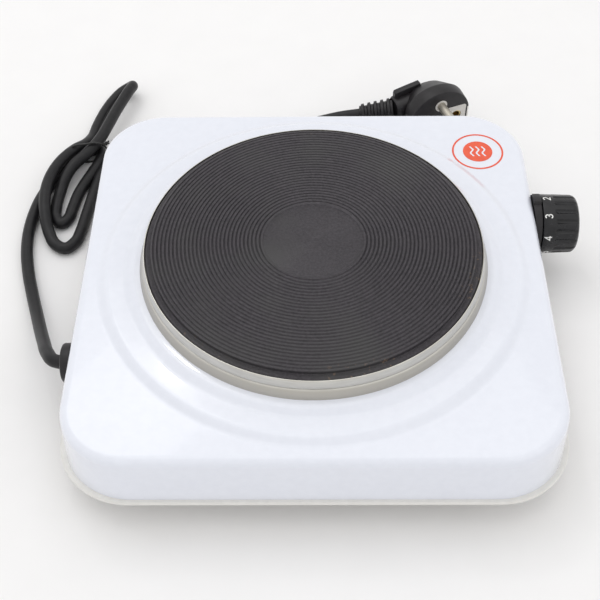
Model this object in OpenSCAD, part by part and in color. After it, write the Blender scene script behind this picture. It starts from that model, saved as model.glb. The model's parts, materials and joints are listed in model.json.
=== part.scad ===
// Single electric hot plate: a cast iron plate of 155 mm in a square enamelled steel cover.
// The plate's axis is vertical. Front is -Y, the knob is on the +X wall, and the lead on the -X wall.

/* [Cover and base] */
// Width of the base rim
base_w = 224.4; // [216:0.1:232]
// Depth of the base rim
base_d = 223; // [216:0.1:232]
// Corner radius of the base rim
base_r = 33; // [28:1:38]
// Height of the base rim over its feet
foot_h = 16; // [14:1:18]
// How far the rim stands out past the cover's wall
rim_out = 1.9; // [1:0.1:3]
// How much the cover's wall leans in from its foot to its top
wall_lean = 1.6; // [0.5:0.1:3]
// Radius of the cover's top edge
edge_r = 4.5; // [3:0.5:5]
// Thickness of the cover's sheet
sheet_t = 1.2; // [1:0.1:1.5]

/* [Hot plate] */
// Diameter of the plate's shoulder
plate_d = 155; // [150:1:158]
// Radius of the grooved top face
face_r = 74.4; // [70:0.1:75]
// Distance from groove to groove
groove_pitch = 1.8; // [1.5:0.1:2.4]
// Number of grooves
groove_n = 28; // [10:1:28]
// Depth of a groove
groove_depth = 0.5; // [0.2:0.1:0.8]
// Radius of the smooth hollow in the middle
hollow_r = 23.3; // [18:0.1:23.4]

/* [Control knob] */
// Radius of the knob at its dial end
knob_r = 14.8; // [12:0.1:14.8]
// Distance of the knob's axis behind the plate's axis
knob_y = 39.2; // [36:0.1:42]
// Length of the knob
knob_len = 18; // [16:0.5:20]
// Number of grip flutes
flute_n = 18; // [12:1:24]
// Angle of the index tab back over the top from the front
index_angle = 103; // [90:1:110]

/* [Mains lead] */
// Diameter of the mains cord
cord_d = 6.4; // [6:0.1:6.4]
// Distance of the cord gland in front of the plate's axis
gland_y = 46.5; // [44:0.1:50]
// Radius of the gland's head
gland_r = 9; // [8:0.5:9.5]

/* [Plug] */
// Radius of the plug's face
plug_r = 18.5; // [17:0.1:18.5]
// Diameter of a plug pin
pin_d = 4.8; // [4:0.1:4.8]
// Length of a plug pin
pin_len = 19; // [17:0.5:19]
// Distance between the plug's pins
pin_gap = 19; // [19:0.5:20]

/* [Hidden] */
$fn = 64;
eps = 0.01;

// The knob side reaches further out than the other sides, so the plate's axis is off centre.
knob_gap = 0.4;
knob_x = base_w / 2 + knob_gap;
knob_end = knob_x + knob_len;
plate_x = (base_w / 2 - knob_end) / 2;

// Heights over the table
pan_t = 1;
rim_h = 2;
cover_z = foot_h + rim_h;
wall_top_z = cover_z + 22;
cover_top_z = wall_top_z + edge_r;
step_h = 2.6;
ledge_z = cover_top_z + 2 * step_h;
ring_h = 10;
shoulder_z = ledge_z + ring_h;
face_h = 2.1;
face_z = shoulder_z + face_h;
web_z = ledge_z - 13.7;
web_t = 1.5;
hub_z = ledge_z - 2.7;
axis_z = cover_z + 12.5;

// The cover's wall
wall_w = base_w / 2 - rim_out;
wall_d = base_d / 2 - rim_out;
wall_r = base_r - 0.5;
lean_angle = atan(wall_lean / 22);
// Half-width of the cover's outer face at height z, on its straight wall
function wall_at(z) = wall_w - wall_lean * (z - cover_z) / 22;
hole_r = 73;
collar_t = 1.2;
collar_h = 4;
step_in_r = 84.5;
step_out_r = 97;
step_run = 4;

// Plate clamp
boss_r = 70.5;
flange_t = 5;
coil_in_r = 27;
coil_out_r = 66;
coil_rings = [33, 46.5, 60];
coil_wire_r = 2.2;
coil_z = hub_z + 4.2;
stud_r = 4;
stud_top = shoulder_z - 3;
stud_low = web_z - 10;
bracket_w = 24;
leg_x = 75.5;
foot_x = 82;
washer_t = 1.6;
nut_af = 13;
nut_h = 6.4;
thin_nut_h = 5;
shield_r = 66;
shield_t = 0.6;
shield_rim = 5.5;
ceramic_y = -42;

// Feet and their screws
foot_x0 = 84;
foot_y0 = 72;
foot_r = 11;
screw_r = 2;
screw_fit = 0.1;
head_r = 4;
head_h = 2.6;
lug_w = 18;
lug_t = 1.5;

// Thermostat
bush_r = 5;
bush_in = 99.5;
bush_out = wall_at(axis_z) + 2.9;
spindle_r = 3;
run_fit = 0.05;
frame_x = 98;
frame_t = 1.5;
stack_y = knob_y - 22;
stack_r = 5.5;
blade_root_y = stack_y + stack_r + 0.8;
blade_w = 8;
blade_t = 0.6;
front_blade_x = 93.4;
back_blade_x = 88.8;
bimetal_x = 84;
pin_r = 1.6;

// Indicator lamp in the knob's wall
lamp_y = -14;
lens_r = 4.5;

// Terminal block on the base pan
block_x = [-90, -62];
block_y = -gland_y;
block_h = 15;
way_gap = 9;

// The plug lies with its face upright and turned from the front towards the right.
plug_pos = [71.8, 132.6];
plug_turn = 22;
plug_depth = 8;
neck_depth = 17;
neck_half = 9.5;

// Routes, from the plate's axis and the table, in mm
cord_route_a = [
    [-113.6, -46.5, 30.5], [-118.2, -44.6, 29.6], [-122.8, -38, 26.4], [-127.4, -27, 20],
    [-132.4, -14, 13.4], [-137.4, 0, 8], [-142.6, 15, 4.6], [-147.6, 31, 3.3], [-150.8, 45, 3.2],
    [-152.4, 60, 3.2], [-151.8, 74, 3.2]
];
cord_route_b = [
    [-115.6, 117.5, 3.2], [-111, 126, 3.2], [-104, 132.5, 3.2], [-94.5, 137, 3.2],
    [-82, 140.2, 3.2], [-66, 142, 3.2], [-50, 142.2, 3.2], [-35, 141.8, 3.2], [-20, 141.2, 4],
    [-7, 140.9, 6.8], [6, 140.8, 10.8], [16, 140.8, 13.6], [27, 140.8, 15.5]
];
live_route = [[-62.5, -55.5, 24.5], [-52, -57, 22], [-34, -58, 20.5], [0, -60, 20], [30, -58, 20],
    [56, -50, 20.5], [74, -38, 21.5], [86, -20, 23.5], [92, -6, 27], [93.7, 8.7, 30.3]];
neutral_route = [[-62.5, -46.5, 24.5], [-50, -47, 25], [-34, -47, 27], [-20, -45, 30],
    [-10, -42.5, 33], [-5, ceramic_y, 35.2]];
load_route_a = [[89.1, 8.7, 30.3], [84, 1, 29], [76, -7, 27], [66, -18, 26], [57, -29, 27.5],
    [52, -35, 29], [46.2, -38, 30]];
load_route_b = [[33.8, -38, 30], [24, -39.5, 30.5], [14, -41.5, 32], [5, ceramic_y, 35.2]];
earth_route = [[-62.5, -37.5, 24.5], [-56, -34, 25], [-52, -25, 26.5], [-50.5, -14, 28.5],
    [-50, -6, 30.5], [-50, 0, 31.4]];
lamp_route_a = [[98.4, lamp_y - 1.5, axis_z], [93, -19, 31], [82, -31, 31.5], [60, -46, 32],
    [34, -50, 33], [16, -49, 34.5], [7.2, -44, 36.4]];
lamp_route_b = [[98.4, lamp_y + 1.5, axis_z], [91, -16, 32.4], [80, -27.6, 33.4], [60, -42, 34],
    [34, -53, 35.4], [6, -53, 35.6], [-3, -44.4, 36.4]];
wire_d = 2.2;
lead_d = 1.4;

// Puts a part that is drawn round the plate's axis where it belongs
module placed() {
    translate([plate_x, 0, 0])
        children();
}

module rounded_square(half_w, half_d, r) {
    square([2 * half_w, 2 * (half_d - r)], center = true);
    square([2 * (half_w - r), 2 * half_d], center = true);
    for (x = [-1, 1], y = [-1, 1])
        translate([x * (half_w - r), y * (half_d - r)])
            circle(r);
}

// A cylinder along +X
module rod_x(r, from, to) {
    translate([from, 0, 0])
        rotate([0, 90, 0])
            cylinder(r = r, h = to - from);
}

// A solid of revolution about the X axis, from points [x, radius]
module turned_x(points) {
    rotate([0, 90, 0])
        rotate_extrude()
            polygon([for (p = points) [p[1], p[0]]]);
}

module hex_x(af, from, to) {
    translate([from, 0, 0])
        rotate([0, 90, 0])
            cylinder(r = af / sqrt(3), h = to - from, $fn = 6);
}

module hex_z(af, from, to) {
    translate([0, 0, from])
        cylinder(r = af / sqrt(3), h = to - from, $fn = 6);
}

function unit(v) = v / norm(v);
function heading(p, i) = unit(p[min(i + 1, len(p) - 1)] - p[max(i - 1, 0)]);
function side(t) = unit(cross(t, [0.02, 0.01, 1]));
function ring(p, i, r, n) =
    let (t = heading(p, i), s = side(t), u = cross(t, s))
    [for (k = [0 : n - 1]) p[i] + r * (cos(360 * k / n) * s + sin(360 * k / n) * u)];

// A tube of diameter d along a route
module tube(route, d, n = 8) {
    m = len(route);
    polyhedron(
        points = [for (i = [0 : m - 1]) each ring(route, i, d / 2, n)],
        faces = concat(
            [[for (k = [0 : n - 1]) k]],
            [[for (k = [n - 1 : -1 : 0]) (m - 1) * n + k]],
            [for (i = [0 : m - 2], k = [0 : n - 1])
                [i * n + k, (i + 1) * n + k, (i + 1) * n + (k + 1) % n, i * n + (k + 1) % n]]
        )
    );
}

// The cover's outer form, or with inset its inner form: a leaning wall under a rounded edge
module cover_form(inset, low) {
    r = edge_r - inset;
    hull() {
        translate([0, 0, low])
            linear_extrude(eps)
                rounded_square(wall_w - inset, wall_d - inset, wall_r - inset, $fn = 32);
        for (a = [0 : 22.5 : 90]) {
            in = wall_lean + inset + r * (1 - cos(a));
            translate([0, 0, wall_top_z + r * sin(a) - eps])
                linear_extrude(eps)
                    rounded_square(wall_w - in, wall_d - in, wall_r - in, $fn = 32);
        }
    }
}

// Two round steps that rise to the plate's ledge, lowered and drawn in by the sheet's thickness
module cover_steps(drop) {
    rotate_extrude()
        polygon([
            [0, wall_top_z - 2],
            [step_out_r + step_run + 1 - drop, wall_top_z - 2],
            [step_out_r + step_run + 1 - drop, wall_top_z],
            [step_out_r + step_run - drop, cover_top_z - drop],
            [step_out_r + 1.2 - drop / 2, cover_top_z + step_h - 0.6 - drop],
            [step_out_r - drop / 2, cover_top_z + step_h - drop],
            [step_in_r + step_run - drop / 2, cover_top_z + step_h - drop],
            [step_in_r + 1.2 - drop / 2, ledge_z - 0.6 - drop],
            [step_in_r - drop / 2, ledge_z - drop],
            [0, ledge_z - drop]
        ]);
}

module top_cover() {
    placed()
    color("white")
    union() {
        difference() {
            union() {
                cover_form(0, cover_z);
                cover_steps(0, $fn = 128);
            }
            cover_form(sheet_t, cover_z - 1);
            cover_steps(sheet_t, $fn = 128);
            translate([0, 0, wall_top_z])
                cylinder(r = hole_r + 0.6, h = 20, $fn = 128);
            translate([0, knob_y, axis_z])
                rod_x(bush_r + 0.3, 100, 115);
            translate([0, lamp_y, axis_z])
                rod_x(lens_r - 0.9, 100, 115);
            translate([0, -gland_y, axis_z])
                rod_x(6.6, -115, -100);
        }
        translate([0, 0, ledge_z - collar_h])
            difference() {
                cylinder(r = hole_r + collar_t, h = collar_h, $fn = 128);
                translate([0, 0, -1])
                    cylinder(r = hole_r, h = collar_h + 2, $fn = 128);
            }
    }
}

module at_feet() {
    for (x = [-foot_x0, foot_x0], y = [-foot_y0, foot_y0])
        translate([x, y, 0])
            children();
}

module base_pan() {
    placed()
    color("whitesmoke")
    difference() {
        translate([0, 0, foot_h])
            linear_extrude(rim_h)
                rounded_square(base_w / 2, base_d / 2, base_r);
        translate([0, 0, foot_h + pan_t])
            linear_extrude(rim_h)
                rounded_square(base_w / 2 - 4.5, base_d / 2 - 4.5, base_r - 4.5);
        at_feet()
            cylinder(r = screw_r + screw_fit, h = 30);
        for (side = [-1, 1], i = [-3 : 3])
            translate([i * 11, side * 62, foot_h])
                cube([4, 34, 4], center = true);
        translate([(block_x[0] + block_x[1]) / 2, block_y, 0])
            cylinder(r = 1.6, h = 30);
    }
}

// Angle pieces that are welded inside the cover, which the foot screws pull on
module corner_lugs() {
    placed()
    color("silver")
    for (x = [-1, 1], y = [-1, 1])
        difference() {
            union() {
                translate([x * (foot_x0 + 8), y * foot_y0, cover_z + lug_t / 2 + 0.1])
                    cube([32.4, lug_w, lug_t], center = true);
                translate([x * (wall_w - sheet_t - 0.2), y * foot_y0, cover_z + 0.1])
                    rotate([0, -x * lean_angle, 0])
                        translate([-x * lug_t / 2, 0, 6])
                            cube([lug_t, lug_w - 8, 12], center = true);
            }
            translate([x * foot_x0, y * foot_y0, 0])
                cylinder(r = screw_r + screw_fit / 2, h = 30);
        }
}

module rubber_feet() {
    placed()
    color("dimgray")
    at_feet()
        rotate_extrude()
            polygon([
                [screw_r + 0.3, 6], [head_r + 0.6, 6], [head_r + 0.6, 0], [foot_r - 2.4, 0],
                [foot_r - 1.4, 1], [foot_r, foot_h], [screw_r + 0.3, foot_h]
            ]);
}

module foot_screws() {
    placed()
    color("silver")
    at_feet()
        difference() {
            union() {
                translate([0, 0, 6 - head_h])
                    cylinder(r = head_r, h = head_h);
                cylinder_z(screw_r, 6 - eps, foot_h + 9);
            }
            for (a = [0, 90])
                rotate(a)
                    translate([0, 0, 6 - head_h])
                        cube([5, 0.9, 2.4], center = true);
        }
}

module cylinder_z(r, from, to) {
    translate([0, 0, from])
        cylinder(r = r, h = to - from);
}

// A printed ring and disc that mean a hot surface, on the flat corner of the cover
module hot_surface_mark() {
    placed()
    color("orangered")
    translate([84, 76.5, cover_top_z])
        difference() {
            cylinder(r = 13.1, h = 0.15);
            translate([0, 0, -1])
                difference() {
                    cylinder(r = 12.1, h = 3);
                    cylinder(r = 7.5, h = 3);
                }
            translate([-84, -76.5, -1])
                cylinder(r = step_out_r + step_run + 0.4, h = 3, $fn = 128);
        }
}

groove_r0 = hollow_r + 1.3;
groove_w = groove_pitch / 2;
module hot_plate() {
    grooves = [
        for (i = [groove_n - 1 : -1 : 0])
            let (r = groove_r0 + i * groove_pitch)
            each [
                [r + groove_w / 2, face_z],
                [r + groove_w / 5, face_z - groove_depth],
                [r - groove_w / 5, face_z - groove_depth],
                [r - groove_w / 2, face_z]
            ]
    ];
    placed()
    color("#3a3a3e")
    difference() {
        rotate_extrude($fn = 128)
            polygon(concat(
                [
                    [0, hub_z], [coil_in_r - 2, hub_z], [coil_in_r - 2, hub_z + 1.2],
                    [coil_in_r, hub_z + 1.2], [coil_in_r, hub_z + 7], [coil_out_r, hub_z + 7],
                    [coil_out_r, hub_z + 1.2], [boss_r - 2, hub_z + 1.2], [boss_r - 2, hub_z],
                    [boss_r, hub_z], [boss_r, shoulder_z - flange_t],
                    [plate_d / 2 - 0.3, shoulder_z - flange_t],
                    [plate_d / 2 - 0.3, shoulder_z - 0.8], [plate_d / 2 - 1.1, shoulder_z],
                    [face_r, shoulder_z], [face_r, face_z - 0.3], [face_r - 0.3, face_z]
                ],
                grooves,
                [[hollow_r, face_z], [hollow_r - 0.5, face_z - 0.5], [0, face_z - 0.5]]
            ));
        cylinder_z(stud_r + 0.05, hub_z - 1, stud_top);
    }
}

// Stainless steel ring that is rolled on round the plate and stands on the cover's ledge
module spill_ring() {
    seat_z = shoulder_z - flange_t;
    placed()
    color("#c9c6b8")
    rotate_extrude($fn = 128)
        polygon([
            [plate_d / 2 + 0.5, shoulder_z - 0.2], [plate_d / 2 + 1.3, seat_z + 0.5],
            [plate_d / 2 + 0.9, seat_z + 0.25], [plate_d / 2 + 0.9, seat_z - 0.05],
            [plate_d / 2 + 1.5, seat_z - 0.3], [80.6, ledge_z + 0.4], [80.6, ledge_z],
            [79.6, ledge_z], [79.6, ledge_z + 0.4], [78, seat_z - 0.6], [71.2, seat_z - 0.6],
            [71.2, seat_z], [plate_d / 2 + 0.2, seat_z], [plate_d / 2, shoulder_z - 0.2]
        ]);
}

// Coiled heating wire in three open rings, with its two ends brought down
module coil_solid(extra) {
    for (r = coil_rings)
        translate([0, 0, coil_z])
            rotate([0, 0, -80])
                rotate_extrude(angle = 340)
                    translate([r, 0])
                        circle(coil_wire_r + extra, $fn = 32);
    for (x = [-5, 5])
        translate([x, ceramic_y, 0])
            cylinder_z(1.2 + extra, hub_z + 1.2, coil_z);
    for (x = [-5, 5])
        translate([x, ceramic_y, coil_z])
            rotate([90, 0, 0])
                cylinder(r = 1.2 + extra, h = 4.2);
}

module heating_coil() {
    placed()
    color("#8a8d90")
    coil_solid(0);
}

module coil_insulation() {
    placed()
    color("gainsboro")
    difference() {
        rotate_extrude($fn = 128)
            polygon([
                [coil_in_r + 0.1, hub_z + 1.3], [coil_out_r - 0.1, hub_z + 1.3],
                [coil_out_r - 0.1, hub_z + 6.9], [coil_in_r + 0.1, hub_z + 6.9]
            ]);
        coil_solid(0.05);
    }
}

module plate_back_cover() {
    placed()
    color("silver")
    difference() {
        cylinder_z(boss_r - 2.1, hub_z, hub_z + 1.2, $fn = 128);
        cylinder_z(coil_in_r - 1.9, hub_z - 1, hub_z + 3, $fn = 128);
        for (x = [-5, 5])
            translate([x, ceramic_y, 0])
                cylinder_z(3.1, hub_z - 1, hub_z + 3);
    }
}

// Steatite block that carries the coil's two terminals out through the back cover
module plate_ceramic() {
    placed()
    color("ivory")
    difference() {
        union() {
            translate([0, ceramic_y, hub_z - 4])
                cube([20, 10, 8], center = true);
            for (x = [-5, 5])
                translate([x, ceramic_y, 0])
                    cylinder_z(3, hub_z - 1, hub_z + 1.2);
        }
        for (x = [-5, 5])
            translate([x, ceramic_y, 0])
                cylinder_z(1.6, hub_z - 9, hub_z + 3);
    }
}

module plate_terminals() {
    placed()
    color("#b5a46a")
    for (x = [-5, 5])
        translate([x, ceramic_y, 0]) {
            cylinder_z(1.5, hub_z - 11.8, hub_z + 1.2);
            cylinder_z(2.8, hub_z - 9.2, hub_z - 8);
        }
}

module plate_stud() {
    placed()
    color("darkgray")
    cylinder_z(stud_r, stud_low, stud_top - 0.5);
}

// Steel strap that hooks under the cover's ledge, so that the nut pulls the plate down
module clamp_bracket() {
    top = ledge_z - sheet_t;
    placed()
    color("silver")
    difference() {
        translate([0, bracket_w / 2, 0])
            rotate([90, 0, 0])
                linear_extrude(bracket_w)
                    polygon(concat(
                        [for (x = [-1, 1]) each x < 0
                            ? [[-foot_x, top], [-foot_x, top - web_t], [-leg_x - web_t, top - web_t],
                               [-leg_x - web_t, web_z]]
                            : [[leg_x + web_t, web_z], [leg_x + web_t, top - web_t],
                               [foot_x, top - web_t], [foot_x, top]]],
                        [[leg_x, top], [leg_x, web_z + web_t], [-leg_x, web_z + web_t], [-leg_x, top]]
                    ));
        cylinder_z(stud_r + 0.3, web_z - 1, web_z + 4);
        translate([-50, 0, 0])
            cylinder_z(screw_r + screw_fit, web_z - 1, web_z + 4);
    }
}

module clamp_washer() {
    placed()
    color("silver")
    difference() {
        cylinder_z(9, web_z - washer_t, web_z);
        cylinder_z(stud_r + 0.3, web_z - 4, web_z + 1);
    }
}

module clamp_nut() {
    placed()
    color("silver")
    difference() {
        hex_z(nut_af, web_z - washer_t - nut_h, web_z - washer_t);
        cylinder_z(stud_r + 0.05, web_z - 12, web_z);
    }
}

module shield_nut() {
    low = web_z + web_t + shield_t;
    placed()
    color("silver")
    difference() {
        hex_z(nut_af, low, low + thin_nut_h);
        cylinder_z(stud_r + 0.05, low - 1, low + thin_nut_h + 1);
    }
}

// Bright dish under the plate that keeps its heat off the base
module heat_shield() {
    low = web_z + web_t;
    placed()
    color("lightgray")
    difference() {
        rotate_extrude($fn = 128)
            polygon([
                [stud_r + 0.3, low], [shield_r, low], [shield_r, low + shield_rim],
                [shield_r - shield_t, low + shield_rim], [shield_r - shield_t, low + shield_t],
                [stud_r + 0.3, low + shield_t]
            ]);
        translate([0, ceramic_y, 0])
            cube([24, 14, 100], center = true);
        translate([-50, 0, 0])
            cylinder_z(5.4, low - 1, low + 2);
    }
}

module thermal_fuse() {
    placed()
    color("tan")
    translate([0, -38, 30])
        rod_x(2.2, 34, 46);
}

module earth_screw() {
    placed()
    color("#c8b25a")
    translate([-50, 0, 0]) {
        cylinder_z(screw_r, web_z - 6, web_z + web_t + eps);
        cylinder_z(3.8, web_z + web_t, web_z + web_t + 2.4);
    }
}

module earth_nut() {
    placed()
    color("#c8b25a")
    translate([-50, 0, 0])
        difference() {
            hex_z(7, web_z - 3.2, web_z);
            cylinder_z(screw_r + 0.05, web_z - 5, web_z + 1);
        }
}

// Thermostat: its frame, its insulated blade stack and the bush that holds it in the wall
module thermostat_frame() {
    placed()
    color("silver")
    difference() {
        translate([frame_x, stack_y - 7, axis_z - 6.5])
            cube([frame_t, 36, 13]);
        translate([0, knob_y, axis_z])
            rod_x(bush_r - 1.5, frame_x - 1, frame_x + 3);
        translate([0, stack_y, axis_z])
            rod_x(pin_r + 0.1, frame_x - 1, frame_x + 3);
    }
}

module thermostat_bush() {
    placed()
    color("#c8b25a")
    translate([0, knob_y, axis_z])
        difference() {
            union() {
                rod_x(bush_r, bush_in, bush_out);
                rod_x(7, bush_in, bush_in + 3);
            }
            rod_x(spindle_r + run_fit, bush_in - 1, bush_out + 1);
        }
}

module thermostat_nut() {
    placed()
    color("silver")
    translate([0, knob_y, axis_z])
        difference() {
            hex_x(13, wall_at(axis_z) + 0.6, bush_out - 0.2);
            rod_x(bush_r + 0.05, 100, 120);
        }
}

// Three insulating beads, one under each blade
module thermostat_ceramics() {
    placed()
    color("ivory")
    translate([0, stack_y, axis_z])
        difference() {
            union() {
                rod_x(stack_r, front_blade_x + blade_t, frame_x);
                rod_x(stack_r, back_blade_x + blade_t, front_blade_x);
                rod_x(stack_r, bimetal_x + 1, back_blade_x);
            }
            rod_x(pin_r + 0.1, bimetal_x, frame_x + 1);
        }
}

module thermostat_rivet() {
    placed()
    color("silver")
    translate([0, stack_y, axis_z]) {
        rod_x(pin_r, bimetal_x - 1, frame_x + frame_t + 1);
        rod_x(3, bimetal_x - 1, bimetal_x);
        rod_x(3, frame_x + frame_t, frame_x + frame_t + 1);
    }
}

// A contact blade with its terminal end forward of the stack
module blade(x, t, from, to) {
    difference() {
        translate([x, from, axis_z - blade_w / 2])
            cube([t, to - from, blade_w]);
        translate([0, stack_y, axis_z])
            rod_x(pin_r + 0.1, x - 1, x + 3);
    }
}

// The moving blade bends about a rolled root, close to the stack
module contact_blade() {
    placed()
    color("#b87333") {
        translate([front_blade_x + blade_t / 2, blade_root_y, axis_z - blade_w / 2])
            cylinder(r = blade_t / 2 + 0.1, h = blade_w);
        translate([front_blade_x, blade_root_y, axis_z - blade_w / 2])
            cube([blade_t, knob_y + 8 - blade_root_y, blade_w]);
        translate([0, knob_y + 6, axis_z])
            rod_x(2, front_blade_x - 1, front_blade_x + eps);
    }
}

module fixed_blade() {
    placed()
    color("#b87333") {
        blade(back_blade_x, blade_t, stack_y - 9, knob_y + 8);
        blade(front_blade_x, blade_t, stack_y - 9, stack_y + stack_r);
        translate([0, knob_y + 6, axis_z])
            rod_x(2, back_blade_x + blade_t - eps, back_blade_x + blade_t + 1.5);
    }
}

module bimetal_blade() {
    placed()
    color("#9a8f80")
    blade(bimetal_x, 1, stack_y - 7, knob_y + 8);
}

module push_pin() {
    placed()
    color("ivory")
    translate([0, knob_y, axis_z])
        rod_x(pin_r, front_blade_x + blade_t + 0.2, bush_in - 2.4);
}

module control_spindle() {
    placed()
    color("silver")
    translate([0, knob_y, axis_z])
        difference() {
            rod_x(spindle_r, bush_in - 1.4, knob_x + 12);
            translate([knob_x + 2, -spindle_r, 1.8])
                cube([20, 2 * spindle_r, 5]);
        }
}

module control_knob() {
    end_r = knob_r - 0.5;
    round_r = 3;
    grip_x = knob_x + 8.4;
    placed()
    color("#1b1b1d")
    translate([0, knob_y, axis_z])
        difference() {
            turned_x(concat(
                [[knob_x, 0], [knob_x, knob_r - 0.3], [knob_x + 0.3, knob_r]],
                [for (a = [0 : 15 : 90])
                    [knob_end - round_r + round_r * sin(a), end_r - round_r * (1 - cos(a))]],
                [[knob_end, 0]]
            ));
            difference() {
                rod_x(knob_r - 2.2, knob_x - 1, knob_x + 5);
                rod_x(5.4, knob_x + 1.6, knob_x + 6);
            }
            difference() {
                rod_x(spindle_r + 0.02, knob_x - 1, knob_x + 12.1);
                translate([knob_x + 2.1, -5, 1.8 + 0.02])
                    cube([20, 10, 5]);
            }
            for (i = [0 : flute_n - 1])
                rotate([360 * i / flute_n, 0, 0])
                    translate([0, 0, end_r + 0.5])
                        rod_x(1.1, grip_x, knob_end + 1, $fn = 24);
        }
}

// Fixed ring round the bush, with the index tab that the dial is read against
module dial_bezel() {
    out_x = knob_x - knob_gap;
    placed()
    color("#1b1b1d")
    translate([0, knob_y, axis_z])
        difference() {
            union() {
                rod_x(knob_r - 0.4, wall_at(axis_z) - 2, out_x);
                rotate([-index_angle + 90, 0, 0])
                    translate([out_x - 3.6, -4, knob_r - 3])
                        cube([3.6, 8, 4]);
            }
            rod_x(10, 90, 120);
            translate([wall_at(axis_z) + 0.1, -30, 0])
                rotate([0, -lean_angle, 0])
                    translate([-20, 0, -40])
                        cube([20, 60, 80]);
            translate([90, -30, cover_z + 0.3 - axis_z - 20])
                cube([30, 60, 20]);
        }
}

module indicator_lens() {
    placed()
    color("orangered")
    translate([0, lamp_y, axis_z])
        turned_x([
            [102, 0], [102, lens_r - 1.1], [wall_at(axis_z) + 0.5, lens_r - 1.1],
            [wall_at(axis_z) + 0.5, lens_r], [wall_at(axis_z) + 1, lens_r],
            [wall_at(axis_z) + 1.6, lens_r - 1.4], [wall_at(axis_z) + 1.8, 0]
        ]);
}

module lens_retainer() {
    placed()
    color("#2b2b2b")
    translate([0, lamp_y, axis_z])
        difference() {
            rod_x(6, 105, 107);
            rod_x(lens_r - 1, 104, 108);
        }
}

module neon_lamp() {
    placed()
    color("gold")
    translate([0, lamp_y, axis_z])
        rod_x(2.6, 99, 102);
}

module terminal_block() {
    placed()
    color("ivory")
    difference() {
        translate([block_x[0], block_y - 15, foot_h + pan_t])
            cube([block_x[1] - block_x[0], 30, block_h]);
        for (i = [-1 : 1]) {
            translate([0, block_y + i * way_gap, foot_h + pan_t + 7.5])
                rod_x(2, block_x[0] - 1, block_x[1] + 1);
            for (x = [-84, -68])
                translate([x, block_y + i * way_gap, 0])
                    cylinder_z(1.9, foot_h + pan_t + 7.5, 60);
        }
        for (y = [-1, 1])
            translate([-76, block_y + y * way_gap / 2, foot_h + pan_t + 15])
                cube([8, 1.2, 6], center = true);
        translate([-76, block_y, 0])
            cylinder_z(1.5, 0, foot_h + pan_t + 4);
    }
}

module terminal_screws() {
    placed()
    color("#c8b25a")
    for (i = [-1 : 1], x = [-84, -68])
        translate([x, block_y + i * way_gap, 0])
            difference() {
                cylinder_z(1.8, foot_h + pan_t + 9.6, foot_h + pan_t + 14.2);
                translate([0, 0, foot_h + pan_t + 14])
                    cube([5, 0.7, 1.4], center = true);
            }
}

module block_screw() {
    placed()
    color("silver")
    translate([-76, block_y, 0]) {
        cylinder_z(1.45, foot_h - eps, foot_h + pan_t + 3.8);
        cylinder_z(2.8, foot_h - 1.8, foot_h);
    }
}

module live_wire() {
    placed()
    color("saddlebrown")
    tube(live_route, wire_d);
}

module neutral_wire() {
    placed()
    color("royalblue")
    tube(neutral_route, wire_d);
}

module load_wire() {
    placed()
    color("saddlebrown") {
        tube(load_route_a, wire_d);
        tube(load_route_b, wire_d);
    }
}

module earth_wire() {
    placed()
    color("yellowgreen")
    tube(earth_route, wire_d);
}

module lamp_leads() {
    placed()
    color("white") {
        tube(lamp_route_a, lead_d);
        tube(lamp_route_b, lead_d);
    }
}

// Bush with a round head outside the wall and a threaded tail inside
module cord_gland() {
    face_x = cord_route_a[0][0];
    placed()
    color("#202022")
    translate([0, -gland_y, axis_z])
        difference() {
            union() {
                difference() {
                    turned_x([
                        [-105, 0], [-105, gland_r], [face_x + 1.2, gland_r],
                        [face_x + 0.4, gland_r - 0.6], [face_x, gland_r - 1.8], [face_x, 0]
                    ]);
                    translate([-wall_at(axis_z) - 0.1, -20, 0])
                        rotate([0, lean_angle, 0])
                            translate([0, 0, -20])
                                cube([20, 40, 40]);
                }
                rod_x(6.2, -wall_at(axis_z) - 1, -98);
            }
            rod_x(cord_d / 2 + 0.1, face_x - 1, -90);
        }
}

module gland_nut() {
    placed()
    color("#202022")
    translate([0, -gland_y, axis_z])
        difference() {
            hex_x(16, -107, -103);
            rod_x(6.25, -110, -100);
        }
}

module cord_inner_end() {
    placed()
    color("#1b1b1d")
    translate([0, -gland_y, axis_z])
        rod_x(cord_d / 2, cord_route_a[0][0], -94);
}

module cord_body_side() {
    placed()
    color("#1b1b1d")
    tube(cord_route_a, cord_d);
}

module cord_plug_side() {
    placed()
    color("#1b1b1d")
    tube(cord_route_b, cord_d);
}

// Outline of the folded hank: a wide end beside the cover and a narrow one behind it
module capsule(a, b, r) {
    hull() {
        translate(a)
            circle(r, $fn = 32);
        translate(b)
            circle(r, $fn = 32);
    }
}

module cord_hank() {
    placed()
    color("#1b1b1d")
    linear_extrude(22) {
        capsule([-134.5, 62], [-128, 122], 17);
        capsule([-124, 128], [-110, 166], 12);
    }
}

module cord_tie() {
    placed()
    color("black")
    translate([-127.6, 121, 0])
        rotate([90, 0, 14])
            linear_extrude(2.4)
                difference() {
                    translate([-11.4, 0])
                        square([20.4, 23.2]);
                    translate([-10.2, 1.2])
                        square([18, 20.8]);
                }
}

// Places a part of the plug: x runs along its face to the right, -y out of its face
module at_plug() {
    translate([plate_x + plug_pos[0], plug_pos[1], plug_r])
        rotate([0, 0, plug_turn])
            children();
}

module rod_y(r, from, to) {
    translate([0, from, 0])
        rotate([-90, 0, 0])
            cylinder(r = r, h = to - from);
}

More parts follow.
